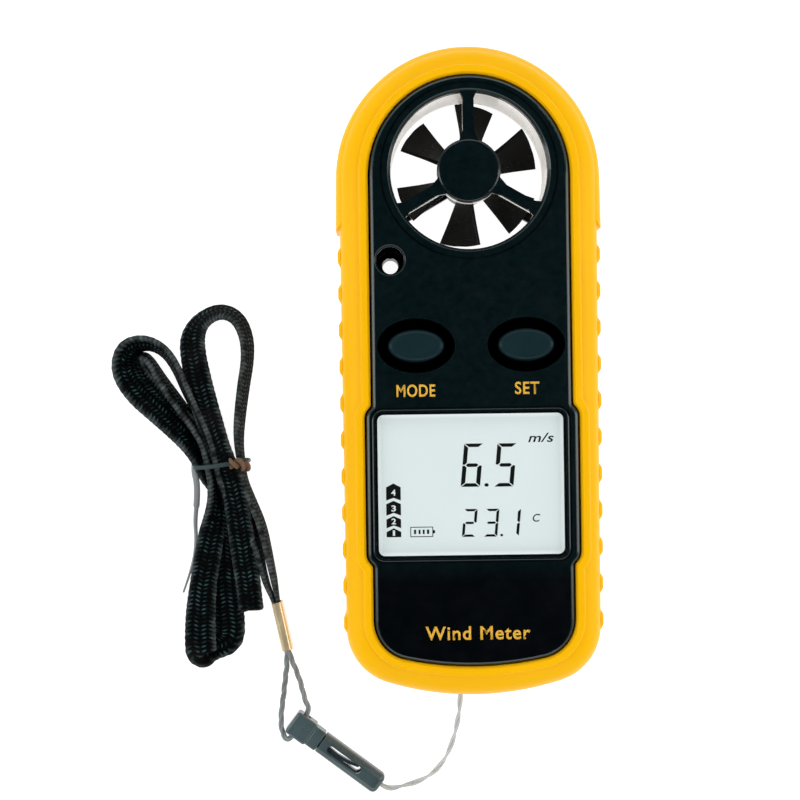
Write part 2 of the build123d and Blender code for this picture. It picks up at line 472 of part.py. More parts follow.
# strap ferrule and narrow loop through the plug's cross hole
FER_A, FER_B = Vector(-31.85, -37.5, 1.9), Vector(-30.2, -45.3, 1.9)
FP = Plane(origin=FER_A, x_dir=(FER_B - FER_A).normalized(), z_dir=(0, 0, 1))
FL = (FER_B - FER_A).length
fer = Pos(FL / 2, 0, 0) * Box(FL, 1.8, 3.4)
fer = safe_fillet(fer, [e for e in fer.edges().filter_by(Axis.X)], [0.6, 0.5], "ferrule")
fer = fer - Pos(FL / 2, 0, 0) * Box(FL + 1, 1.3, 2.9)
parts["loop_ferrule"] = FP * fer
HOLE = BP * Pos(1.5, 0, 0)
V = U.rotate(Axis.Z, 90)
hc = Vector(HOLE.position)
LOOP = [tuple(FER_B + (FER_A - FER_B).normalized() * 1.2 + Vector(-0.05, 0, -0.55)),
        (-30.35, -47.3, 1.3), (-30.75, -50.3, 1.2), (-31.1, -53.2, 1.25), (-31.5, -55.9, 1.35), (-31.55, -58.1, 1.5), (-31.0, -60.0, 1.7)] + \
       [tuple(hc - V * 2.75), tuple(hc + V * 2.75)] + \
       [(-27.6, -53.4, 1.9), (-28.1, -51.0, 2.1), (-28.9, -48.6, 2.4), (-29.85, -46.3, 2.5),
        tuple(FER_B + (FER_A - FER_B).normalized() * 1.3 + Vector(0.05, 0, 0.55))]
parts["narrow_loop"] = tube("narrow_loop", LOOP, LOOP_D)

# ---------------------------------------------------------------- folded strap
UR = [(-44.3, -13.0), (-45.3, -6.5), (-46.9, -0.6), (-47.4, 3.8), (-46.5, 8.2), (-44.0, 11.2), (-40.6, 12.4), (-37.9, 10.7), (-36.6, 7.4),
      (-36.3, 3.3), (-37.1, -3.2), (-37.7, -8.1), (-37.3, -13.0)]
URH = [(-44.2, 5.6), (-43.6, 8.0), (-42.5, 9.4), (-41.1, 9.3), (-39.2, 7.7), (-38.2, 4.8), (-38.3, 1.5), (-39.1, -3.4), (-39.9, -7.6), (-41.0, -4.0), (-42.5, 1.6)]
ULF = [(-44.2, -15.6), (-46.0, -13.0), (-49.5, -8.2), (-53.6, -4.7), (-58.4, 0.5), (-59.6, 3.5), (-57.6, 6.3), (-53.7, 7.6), (-50.5, 6.4), (-48.1, 3.3),
       (-45.6, -2.1), (-43.8, -7.9), (-42.2, -13.7)]
ULH = [(-53.3, 4.8), (-52.1, 4.5), (-50.8, 3.4), (-49.0, 0.3), (-47.4, -3.0), (-46.1, -5.2), (-48.0, -3.7), (-50.4, -0.2), (-52.6, 3.2)]
LOW = [(-44.2, -15.8), (-37.2, -15.8), (-35.1, -19.8), (-33.6, -23.9), (-32.2, -28.6), (-31.6, -32.5), (-31.1, -36.2), (-31.3, -37.15), (-32.4, -37.1),
       (-33.9, -35.2), (-34.5, -36.8), (-35.2, -38.4), (-37.2, -38.4), (-37.2, -41.9), (-36.8, -43.6), (-38.2, -45.2), (-40.6, -46.8), (-46.8, -46.6),
       (-47.2, -42.7), (-46.6, -35.7), (-44.4, -26.4), (-43.9, -20.2)]


def poly(pts):
    return make_face(Polyline(*pts, close=True))


hank = slab(poly(UR), 0.1, 5.6) - slab(poly(URH), -1, 9)
hank = hank + (slab(poly(ULF), 0.1, 5.6) - slab(poly(ULH), -1, 9))
hank = hank + slab(poly(LOW), 0.1, 5.6)
waist = box(-44.6, -36.6, -16.3, -12.6, 0.95, 4.9)
hank = hank - box(-50, -30, -15.9, -13.1, -1, 9) + waist
parts["neck_strap"] = hank
tie = box(-45.5, -35.7, -15.3, -13.7, 0.05, 5.8)
tie = safe_fillet(tie, [e for e in tie.edges().filter_by(Axis.Y)], [0.6], "tie")
tie = tie - box(-44.65, -36.55, -17, -12, 0.9, 4.95)
tie = tie + Pos(-34.9, -14.3, 2.9) * Rot(0, 90, 20) * Cylinder(0.45, 2.0)
parts["strap_tie"] = tie

# ---------------------------------------------------------------- write
for name, s in parts.items():
    export_step(s if not isinstance(s, list) else Compound(children=s), f"parts/{name}.step")
    bb = s.bounding_box()
    print(name, len(s.solids()), round(s.volume, 2), [round(v, 2) for v in (bb.min.X, bb.min.Y, bb.min.Z, bb.max.X, bb.max.Y, bb.max.Z)])
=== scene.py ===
import bpy, bmesh, math
from math import sin, cos, tan, radians, pi, sqrt, atan2, hypot
from mathutils import Vector, Matrix, Quaternion


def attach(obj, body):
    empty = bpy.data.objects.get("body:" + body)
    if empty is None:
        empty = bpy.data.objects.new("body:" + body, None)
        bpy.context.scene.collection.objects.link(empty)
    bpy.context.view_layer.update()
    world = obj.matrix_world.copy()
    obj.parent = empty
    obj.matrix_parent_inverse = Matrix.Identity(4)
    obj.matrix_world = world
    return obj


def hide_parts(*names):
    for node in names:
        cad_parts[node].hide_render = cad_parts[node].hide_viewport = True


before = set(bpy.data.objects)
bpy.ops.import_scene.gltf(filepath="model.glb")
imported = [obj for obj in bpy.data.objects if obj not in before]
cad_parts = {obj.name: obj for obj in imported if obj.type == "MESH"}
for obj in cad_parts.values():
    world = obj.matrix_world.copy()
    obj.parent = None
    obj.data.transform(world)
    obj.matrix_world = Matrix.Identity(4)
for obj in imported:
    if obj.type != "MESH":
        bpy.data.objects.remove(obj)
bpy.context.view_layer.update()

MM = 0.001
scene = bpy.context.scene
BODY = "instrument"

# ------------------------------------------------------------------ material helpers


def new_mat(name, base, rough, **kw):
    m = bpy.data.materials.new(name)
    m.use_nodes = True
    b = m.node_tree.nodes["Principled BSDF"]
    b.inputs["Base Color"].default_value = (*base, 1)
    b.inputs["Roughness"].default_value = rough
    for k, v in kw.items():
        b.inputs[k.replace("_", " ").title() if k.replace("_", " ").title() in b.inputs else k].default_value = v
    return m, m.node_tree, b


def coords(nt, scale=1.0):
    tc = nt.nodes.new("ShaderNodeTexCoord")
    mp = nt.nodes.new("ShaderNodeMapping")
    nt.links.new(tc.outputs["Object"], mp.inputs["Vector"])
    mp.inputs["Scale"].default_value = (scale, scale, scale) if not hasattr(scale, "__len__") else scale
    return mp.outputs["Vector"]


def noise(nt, vec, scale, detail=4.0, rough=0.55):
    n = nt.nodes.new("ShaderNodeTexNoise")
    n.inputs["Scale"].default_value = scale
    n.inputs["Detail"].default_value = detail
    n.inputs["Roughness"].default_value = rough
    nt.links.new(vec, n.inputs["Vector"])
    return n.outputs["Fac"]


def ramp(nt, fac, stops):
    r = nt.nodes.new("ShaderNodeValToRGB")
    e = r.color_ramp.elements
    while len(e) < len(stops):
        e.new(0.5)
    for i, (p, c) in enumerate(stops):
        e[i].position = p
        e[i].color = (*c, 1) if len(c) == 3 else c
    nt.links.new(fac, r.inputs["Fac"])
    return r.outputs["Color"]


def mapr(nt, fac, a, b, lo=0.0, hi=1.0):
    r = nt.nodes.new("ShaderNodeMapRange")
    r.inputs["From Min"].default_value = lo
    r.inputs["From Max"].default_value = hi
    r.inputs["To Min"].default_value = a
    r.inputs["To Max"].default_value = b
    nt.links.new(fac, r.inputs["Value"])
    return r.outputs["Result"]


def bump(nt, b, height, dist, strength=1.0):
    n = nt.nodes.new("ShaderNodeBump")
    n.inputs["Distance"].default_value = dist
    n.inputs["Strength"].default_value = strength
    nt.links.new(height, n.inputs["Height"])
    nt.links.new(n.outputs["Normal"], b.inputs["Normal"])
    return n


def plastic(name, base, rough, grain=1800.0, depth=0.00001, vary=0.12, rvary=0.05, **kw):
    """Moulded plastic or rubber: fine grain bump, slight mottling, uneven gloss."""
    m, nt, b = new_mat(name, base, rough, **kw)
    v = coords(nt)
    n1 = noise(nt, v, 90.0, 3.0)
    lo = tuple(c * (1 - vary) for c in base)
    hi = tuple(min(1.0, c * (1 + vary)) for c in base)
    nt.links.new(ramp(nt, n1, [(0.3, lo), (0.7, hi)]), b.inputs["Base Color"])
    n2 = noise(nt, v, 350.0, 3.0)
    nt.links.new(mapr(nt, n2, max(0.02, rough - rvary), min(1.0, rough + rvary), 0.3, 0.7), b.inputs["Roughness"])
    bump(nt, b, noise(nt, v, grain, 3.0), depth)
    return m


def metal(name, base, rough, grain=(2500.0, 120.0, 2500.0), depth=0.000004):
    m, nt, b = new_mat(name, base, rough, Metallic=1.0)
    v = coords(nt, grain)
    n1 = noise(nt, v, 1.0, 4.0)
    nt.links.new(ramp(nt, n1, [(0.25, tuple(c * 0.8 for c in base)), (0.75, tuple(min(1, c * 1.1) for c in base))]), b.inputs["Base Color"])
    nt.links.new(mapr(nt, n1, rough * 0.8, rough * 1.3, 0.3, 0.7), b.inputs["Roughness"])
    bump(nt, b, n1, depth)
    return m


M = {}

# rubber boot: fine matt grain, a painted pale reflection where the surface turns away from the viewer
bm_, bnt, bb = new_mat("boot_rubber", (0.93, 0.50, 0.004), 0.38)
bv = coords(bnt)
lw = bnt.nodes.new("ShaderNodeLayerWeight")
lw.inputs["Blend"].default_value = 0.22
boot_painted_reflection = mapr(bnt, lw.outputs["Facing"], 0.0, 0.9, 0.22, 0.90)
tone = ramp(bnt, noise(bnt, bv, 60.0, 3.0), [(0.3, (0.93, 0.478, 0.0030)), (0.7, (0.96, 0.500, 0.0038))])
boot_reflection_mix = bnt.nodes.new("ShaderNodeMix")
boot_reflection_mix.data_type = "RGBA"
bnt.links.new(boot_painted_reflection, boot_reflection_mix.inputs["Factor"])
bnt.links.new(tone, boot_reflection_mix.inputs["A"])
boot_reflection_mix.inputs["B"].default_value = (0.95, 0.56, 0.08, 1)
bnt.links.new(boot_reflection_mix.outputs["Result"], bb.inputs["Base Color"])
bnt.links.new(mapr(bnt, noise(bnt, bv, 300.0, 3.0), 0.28, 0.36, 0.3, 0.7), bb.inputs["Roughness"])
bb.inputs["Specular IOR Level"].default_value = 0.05
bump(bnt, bb, noise(bnt, bv, 2600.0, 3.0), 0.000010)
M["boot"] = bm_

# case plastic: spark-eroded upper panel, glossier lower panel, painted shade in the wells round the keys
cm, cnt, cb = new_mat("cover_plastic", (0.003, 0.009, 0.010), 0.33)
cv = coords(cnt)
csep = cnt.nodes.new("ShaderNodeSeparateXYZ")
cnt.links.new(cv, csep.inputs["Vector"])
low = mapr(cnt, csep.outputs["Y"], 1.0, 0.0, -0.0330, -0.0295)
upper = ramp(cnt, noise(cnt, cv, 900.0, 4.0), [(0.32, (0.0006, 0.0040, 0.0052)), (0.68, (0.0016, 0.0072, 0.0086))])
panel = cnt.nodes.new("ShaderNodeMix")
panel.data_type = "RGBA"
cnt.links.new(low, panel.inputs["Factor"])
cnt.links.new(upper, panel.inputs["A"])
panel.inputs["B"].default_value = (0.0004, 0.0012, 0.0022, 1)
# painted shade: whatever lies below 15.3-15.9 mm, the wells and other sunk parts, is coloured near-black and loses its
# gloss
sunk_shade_mask = mapr(cnt, csep.outputs["Z"], 1.0, 0.0, 0.0153, 0.0159)
well_shade_mix = cnt.nodes.new("ShaderNodeMix")
well_shade_mix.data_type = "RGBA"
cnt.links.new(sunk_shade_mask, well_shade_mix.inputs["Factor"])
cnt.links.new(panel.outputs["Result"], well_shade_mix.inputs["A"])
well_shade_mix.inputs["B"].default_value = (0.0001, 0.0001, 0.0001, 1)
# painted highlight: a paler line along the rounded edges of the face and its wells, picked out by height
band_up = mapr(cnt, csep.outputs["Z"], 0.0, 1.0, 0.01621, 0.01627)
band_dn = mapr(cnt, csep.outputs["Z"], 0.85, 0.0, 0.01635, 0.01639)
edge_highlight_band = cnt.nodes.new("ShaderNodeMath")
edge_highlight_band.operation = "MULTIPLY"
cnt.links.new(band_up, edge_highlight_band.inputs[0])
cnt.links.new(band_dn, edge_highlight_band.inputs[1])
edge_highlight_mix = cnt.nodes.new("ShaderNodeMix")
edge_highlight_mix.data_type = "RGBA"
cnt.links.new(edge_highlight_band.outputs[0], edge_highlight_mix.inputs["Factor"])
cnt.links.new(well_shade_mix.outputs["Result"], edge_highlight_mix.inputs["A"])
edge_highlight_mix.inputs["B"].default_value = (0.024, 0.050, 0.051, 1)
cnt.links.new(edge_highlight_mix.outputs["Result"], cb.inputs["Base Color"])
cnt.links.new(mapr(cnt, sunk_shade_mask, 0.45, 0.0), cb.inputs["Specular IOR Level"])
cnt.links.new(mapr(cnt, noise(cnt, cv, 400.0, 3.0), 0.17, 0.23, 0.3, 0.7), cb.inputs["Roughness"])
bump(cnt, cb, noise(cnt, cv, 3200.0, 3.0), 0.000006)
M["cover"] = cm
M["rear"] = plastic("rear_cover_plastic", (0.004, 0.010, 0.011), 0.36, grain=3200.0, depth=0.000012, vary=0.2)

M["duct"] = plastic("duct_plastic", (0.90, 0.86, 0.80), 0.30, grain=1600.0, depth=0.000005, vary=0.03)
# painted light: the duct walls glow faintly warm-white of their own
duct_glow_bsdf = M["duct"].node_tree.nodes["Principled BSDF"]
duct_glow_bsdf.inputs["Emission Color"].default_value = (1.0, 0.95, 0.88, 1)
duct_glow_bsdf.inputs["Emission Strength"].default_value = 0.12
M["rotor"] = plastic("impeller_plastic", (0.0012, 0.0018, 0.002), 0.30, grain=2000.0, depth=0.000006, vary=0.15)
M["jewel"] = plastic("bearing_jewel", (0.45, 0.03, 0.05), 0.12, vary=0.1)
M["steel"] = metal("steel", (0.62, 0.61, 0.60), 0.28)
M["magnet"] = plastic("magnet", (0.03, 0.03, 0.033), 0.5, vary=0.2)
M["white"] = plastic("white_plastic", (0.8, 0.8, 0.78), 0.4, vary=0.03)
M["holder"] = plastic("holder_plastic", (0.55, 0.56, 0.55), 0.45, vary=0.04)
M["zebra"] = plastic("zebra_rubber", (0.10, 0.10, 0.11), 0.6, vary=0.2)
M["board"] = plastic("board", (0.01, 0.10, 0.035), 0.38, grain=900.0, vary=0.15)
M["chip"] = plastic("chip", (0.012, 0.012, 0.013), 0.42, grain=3500.0, vary=0.2)
M["contact"] = metal("contact_metal", (0.78, 0.66, 0.38), 0.3)
M["cell"] = metal("cell_metal", (0.70, 0.69, 0.67), 0.24, grain=(60.0, 60.0, 60.0))
M["seal"] = plastic("seal_rubber", (0.015, 0.015, 0.016), 0.6, vary=0.2)
M["button"] = plastic("button_rubber", (0.0050, 0.0200, 0.0245), 0.36, grain=2600.0, depth=0.000010, vary=0.12)
M["screw"] = metal("screw_metal", (0.55, 0.55, 0.56), 0.32, grain=(900.0, 900.0, 900.0))
M["bead"] = plastic("thermistor_epoxy", (0.01, 0.01, 0.012), 0.25, vary=0.1)
M["buckle"] = plastic("buckle_plastic", (0.050, 0.078, 0.085), 0.24, grain=900.0, depth=0.000012, vary=0.45, rvary=0.08)
M["ferrule"] = metal("ferrule_metal", (0.80, 0.66, 0.42), 0.24, grain=(900.0, 200.0, 900.0), depth=0.000002)
M["ferrule"].node_tree.nodes["Principled BSDF"].inputs["Metallic"].default_value = 0.55
M["cord"] = plastic("cord_grey", (0.50, 0.53, 0.53), 0.55, grain=2600.0, depth=0.00003, vary=0.25)
M["loopcord"] = plastic("cord_dark_grey", (0.22, 0.25, 0.255), 0.55, grain=2600.0, depth=0.00003, vary=0.35)
M["tie"] = plastic("tie_plastic", (0.035, 0.055, 0.058), 0.35, grain=900.0, depth=0.00001, vary=0.2)
M["wire"] = plastic("tie_wire", (0.27, 0.29, 0.29), 0.4, grain=900.0, depth=0.00001, vary=0.15)
M["twist"] = plastic("tie_twist", (0.21, 0.125, 0.080), 0.4, grain=900.0, depth=0.00002, vary=0.4)
M["ink"] = plastic("display_ink", (0.0008, 0.0008, 0.0008), 0.5, vary=0.1)
for k_ in ("rotor", "button", "ink", "twist", "tie"):
    M[k_].node_tree.nodes["Principled BSDF"].inputs["Specular IOR Level"].default_value = 0.14
M["label"] = plastic("label_ink", (0.78, 0.42, 0.024), 0.5, grain=3000.0, depth=0.000004, vary=0.08)

# reflective display: cool pale grey, with a painted highlight in the last half millimetre of its border
gm, gnt, gb = new_mat("display_glass", (0.70, 0.79, 0.79), 0.32)
gv = coords(gnt)
gsep = gnt.nodes.new("ShaderNodeSeparateXYZ")
gnt.links.new(gv, gsep.inputs["Vector"])


def away(nt, out, centre):
    a = nt.nodes.new("ShaderNodeMath")
    a.operation = "SUBTRACT"
    nt.links.new(out, a.inputs[0])
    a.inputs[1].default_value = centre
    b = nt.nodes.new("ShaderNodeMath")
    b.operation = "ABSOLUTE"
    nt.links.new(a.outputs[0], b.inputs[0])
    return b.outputs[0]


gx = mapr(gnt, away(gnt, gsep.outputs["X"], -0.0003), 0.0, 1.0, 0.01385, 0.01435)
gy = mapr(gnt, away(gnt, gsep.outputs["Y"], -0.0179), 0.0, 1.0, 0.01035, 0.01085)
display_border_highlight_mask = gnt.nodes.new("ShaderNodeMath")
display_border_highlight_mask.operation = "MAXIMUM"
gnt.links.new(gx, display_border_highlight_mask.inputs[0])
gnt.links.new(gy, display_border_highlight_mask.inputs[1])
gtone = ramp(gnt, noise(gnt, gv, 70.0, 3.0), [(0.3, (0.455, 0.515, 0.515)), (0.7, (0.470, 0.530, 0.530))])
display_border_highlight_mix = gnt.nodes.new("ShaderNodeMix")
display_border_highlight_mix.data_type = "RGBA"
gnt.links.new(display_border_highlight_mask.outputs[0], display_border_highlight_mix.inputs["Factor"])
gnt.links.new(gtone, display_border_highlight_mix.inputs["A"])
display_border_highlight_mix.inputs["B"].default_value = (0.72, 0.76, 0.76, 1)
gnt.links.new(display_border_highlight_mix.outputs["Result"], gb.inputs["Base Color"])
# painted light: the display glows faintly of its own
gb.inputs["Emission Color"].default_value = (0.90, 1.0, 1.0, 1)
gb.inputs["Emission Strength"].default_value = 0.43
gnt.links.new(mapr(gnt, noise(gnt, gv, 500.0, 3.0), 0.28, 0.36, 0.3, 0.7), gb.inputs["Roughness"])
bump(gnt, gb, noise(gnt, gv, 2200.0, 3.0), 0.000003)
M["glass"] = gm

# strap: rows of slanted stitches, dark between them, with a painted grey reflection along both edges (UV is millimetres
# / 10)
sm, snt, sb = new_mat("strap_webbing", (0.004, 0.007, 0.008), 0.62)
suv = snt.nodes.new("ShaderNodeUVMap")
ssep = snt.nodes.new("ShaderNodeSeparateXYZ")
snt.links.new(suv.outputs["UV"], ssep.inputs["Vector"])


def maths(nt, op, a, b=None, c=None):
    m = nt.nodes.new("ShaderNodeMath")
    m.operation = op
    for i, v in enumerate((a, b, c)):
        if v is None:
            continue
        if isinstance(v, (int, float)):
            m.inputs[i].default_value = v
        else:
            nt.links.new(v, m.inputs[i])
    return m.outputs[0]


along = maths(snt, "MULTIPLY", ssep.outputs["X"], 10.0)
across = maths(snt, "MULTIPLY", ssep.outputs["Y"], 10.0)
col = maths(snt, "MULTIPLY", across, 1 / 1.12)
zig = maths(snt, "PINGPONG", col, 1.0)
phase = maths(snt, "ADD", maths(snt, "MULTIPLY", along, 1 / 0.68), maths(snt, "MULTIPLY", zig, 0.55))
stitch = maths(snt, "MULTIPLY_ADD", maths(snt, "SINE", maths(snt, "MULTIPLY", phase, 2 * pi)), 0.5, 0.5)
rib = maths(snt, "ABSOLUTE", maths(snt, "SINE", maths(snt, "MULTIPLY", col, pi)))
dots = maths(snt, "MULTIPLY", maths(snt, "POWER", stitch, 1.2), maths(snt, "POWER", rib, 0.9))
# painted reflection: both rounded edges of the strap are coloured greyer
strap_edge_reflection_mask = mapr(snt, maths(snt, "ABSOLUTE", across), 0.0, 1.0, 1.62, 2.24)
fleck = mapr(snt, noise(snt, coords(snt), 650.0, 3.0), 0.10, 1.25, 0.32, 0.68)
face = ramp(snt, maths(snt, "MULTIPLY", dots, fleck), [(0.16, (0.0002, 0.0004, 0.0006)), (0.50, (0.0036, 0.0110, 0.0130)), (0.95, (0.036, 0.078, 0.085))])
strap_edge_reflection_tone = ramp(snt, maths(snt, "MULTIPLY", maths(snt, "MULTIPLY_ADD", stitch, 0.5, 0.5), fleck), [(0.15, (0.008, 0.011, 0.012)), (1.0, (0.085, 0.102, 0.105))])
strap_reflection_mix = snt.nodes.new("ShaderNodeMix")
strap_reflection_mix.data_type = "RGBA"
snt.links.new(strap_edge_reflection_mask, strap_reflection_mix.inputs["Factor"])
snt.links.new(face, strap_reflection_mix.inputs["A"])
snt.links.new(strap_edge_reflection_tone, strap_reflection_mix.inputs["B"])
tint = snt.nodes.new("ShaderNodeMix")
tint.data_type = "RGBA"
snt.links.new(mapr(snt, noise(snt, coords(snt), 55.0, 2.0), 0.0, 0.35, 0.60, 0.78), tint.inputs["Factor"])
snt.links.new(strap_reflection_mix.outputs["Result"], tint.inputs["A"])
tint.inputs["B"].default_value = (0.022, 0.016, 0.013, 1)
snt.links.new(tint.outputs["Result"], sb.inputs["Base Color"])
sb.inputs["Sheen Weight"].default_value = 0.01
sb.inputs["Sheen Roughness"].default_value = 0.4
sb.inputs["Specular IOR Level"].default_value = 0.04
snt.links.new(mapr(snt, dots, 0.75, 0.50), sb.inputs["Roughness"])
bump(snt, sb, maths(snt, "ADD", dots, maths(snt, "MULTIPLY", noise(snt, coords(snt), 3000.0, 2.0), 0.15)), 0.00014)
M["strap"] = sm

lm, lnt, lb = new_mat("display_lens", (0.02, 0.03, 0.03), 0.12, Alpha=0.05)
lv = coords(lnt)
lnt.links.new(mapr(lnt, noise(lnt, lv, 300.0), 0.10, 0.16, 0.3, 0.7), lb.inputs["Roughness"])
M["lens"] = lm

NODE_MAT = {
    "boot": "boot", "lanyard_bar": "steel", "front_cover": "cover", "rear_cover": "rear", "vane_duct": "duct",
    "rear_bridge": "rotor", "pickup_sensor": "chip", "front_bearing": "rotor", "rear_bearing": "jewel", "impeller": "rotor",
    "impeller_axle": "steel", "rotor_magnet": "magnet", "temperature_sensor": "bead", "display_lens": "lens",
    "display_glass": "glass", "display_reflector": "white", "display_holder": "holder", "zebra_strip": "zebra",
    "circuit_board": "board", "board_screws": "screw", "mode_switch": "steel", "set_switch": "steel",
    "processor_chip": "chip", "crystal": "steel", "coin_cell": "cell", "battery_contact_negative": "contact",
    "battery_contact_positive": "contact", "battery_cap": "rear", "battery_cap_seal": "seal", "mode_button": "button",
    "set_button": "button", "case_screws": "screw", "buckle_plug": "buckle", "buckle_socket": "buckle", "loop_ferrule": "ferrule",
}
for n, k in NODE_MAT.items():
    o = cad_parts[n]
    o.data.materials.clear()
    o.data.materials.append(M[k])

# ------------------------------------------------------------------ soft pieces


def nurbs_line(pts, res=14):
    """The quadratic curve that follows a control polygon in mm, as points in mm."""
    cu = bpy.data.curves.new("route", "CURVE")
    cu.dimensions = "3D"
    sp = cu.splines.new("NURBS")
    sp.points.add(len(pts) - 1)
    for p, c in zip(sp.points, pts):
        p.co = (c[0] * MM, c[1] * MM, c[2] * MM, 1)
    sp.order_u = 3
    sp.use_endpoint_u = True
    sp.resolution_u = res
    ob = bpy.data.objects.new("route", cu)
    scene.collection.objects.link(ob)
    bpy.context.view_layer.update()
    me = bpy.data.meshes.new_from_object(ob)
    line = [v.co / MM for v in me.vertices]
    bpy.data.objects.remove(ob)
    bpy.data.curves.remove(cu)
    bpy.data.meshes.remove(me)
    return line


def tangents(line):
    n = len(line)
    return [(line[min(i + 1, n - 1)] - line[max(i - 1, 0)]).normalized() for i in range(n)]


def lengths(line):
    s = [0.0]
    for a, b in zip(line, line[1:]):
        s.append(s[-1] + (b - a).length)
    return s


def skin(name, rings, uvs, mat, closed=True):
    """A tube through rings of points in mm, with flat ends."""
    k = len(rings[0])
    me = bpy.data.meshes.new(name)
    verts = [tuple(p * MM) for r in rings for p in r]
    faces = []
    for i in range(len(rings) - 1):
        for j in range(k):
            faces.append((i * k + j, i * k + (j + 1) % k, (i + 1) * k + (j + 1) % k, (i + 1) * k + j))
    faces.append(tuple(range(k - 1, -1, -1)))
    faces.append(tuple((len(rings) - 1) * k + j for j in range(k)))
    me.from_pydata(verts, [], faces)
    if uvs:
        lay = me.uv_layers.new(name="UVMap")
        for lp in me.loops:
            lay.data[lp.index].uv = uvs[lp.vertex_index]
    for p in me.polygons:
        p.use_smooth = len(p.vertices) == 4
    me.materials.append(mat)
    me.update()
    return me


def link(name, me):
    o = bpy.data.objects.new(name, me)
    scene.collection.objects.link(o)
    return o


def join(name, meshes):
    bmj = bmesh.new()
    for m in meshes:
        bmj.from_mesh(m)
    me = bpy.data.meshes.new(name)
    bmj.to_mesh(me)
    bmj.free()
    mats = []
    for m in meshes:
        for x in m.materials:
            if x not in mats:
                mats.append(x)
    for x in mats:
        me.materials.append(x)
    for p in me.polygons:
        p.use_smooth = True
    return me


def strands(name, pts, d, count, pitch, mat, res=14, squash=1.0, phase0=0.0):
    """Strands laid side by side, turning slowly about the route, as one mesh; returns it and the route's points."""
    line = nurbs_line(pts, res)
    ts, ss = tangents(line), lengths(line)
    h = Vector((0, 0, 1)).cross(ts[0])
    h = h.normalized() if h.length > 0.2 else Vector((1, 0, 0))
    hs = []
    for t in ts:
        h = (h - t * h.dot(t)).normalized()
        hs.append(h)
    out = []
    sd = d * 0.52
    off_r = (d - sd) / 2
    for c in range(count):
        rings = []
        for i, p in enumerate(line):
            n_ = ts[i].cross(hs[i])
            a = phase0 + 2 * pi * (ss[i] / pitch + c / count)
            centre = p + hs[i] * (off_r * cos(a)) + n_ * (off_r * sin(a))
            rings.append([centre + hs[i] * (sd / 2 * cos(2 * pi * j / 10)) + n_ * (sd / 2 * sin(2 * pi * j / 10)) for j in range(10)])
        out.append(skin(f"{name}_{c}", rings, None, mat))
    return join(name, out), line, ss[-1]


FA, FB = Vector((-31.85, -37.5, 1.9)), Vector((-30.2, -45.3, 1.9))
FU = (FA - FB).normalized()
BT, BH = Vector((-29.5, -57.1, 1.75)), Vector((-15.3, -67.8, 1.75))
BU = (BH - BT).normalized()
STRING = [(-2.0, -48.95, 6.04), (-2.0, -51.1, 6.03), (-2.1, -53.6, 5.2), (-2.35, -56.4, 3.6), (-2.85, -59.4, 1.7), (-3.6, -62.0, 0.75),
          (-4.8, -64.4, 0.55), (-6.6, -66.4, 0.5), (-9.0, -67.7, 0.55), (-11.6, -68.3, 0.85), (-13.75, -68.62, 1.5)]
STRING += [tuple(BH + BU * 0.02), tuple(BH - BU * 2.9)]
me, line, slen = strands("lanyard_string", STRING, 0.9, 2, 9.0, M["cord"])
string = link("lanyard_string_cord", me)
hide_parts("lanyard_string")
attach(string, "instrument")

LOOP = [tuple(FB + FU * 1.2 + Vector((-0.05, 0, -0.55))), (-30.35, -47.3, 1.3), (-30.75, -50.3, 1.2), (-31.1, -53.2, 1.25), (-31.5, -55.9, 1.35),
        (-31.55, -58.1, 1.5), (-31.0, -60.0, 1.7), (-29.957, -60.199, 1.75), (-26.647, -55.807, 1.75), (-27.6, -53.4, 1.9), (-28.1, -51.0, 2.1),
        (-28.9, -48.6, 2.4), (-29.85, -46.3, 2.5), tuple(FB + FU * 1.3 + Vector((0.05, 0, 0.55)))]
me, line, llen = strands("narrow_loop", LOOP, 0.95, 3, 6.5, M["loopcord"])
loop = link("narrow_loop_cord", me)
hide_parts("narrow_loop")
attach(loop, "strap")

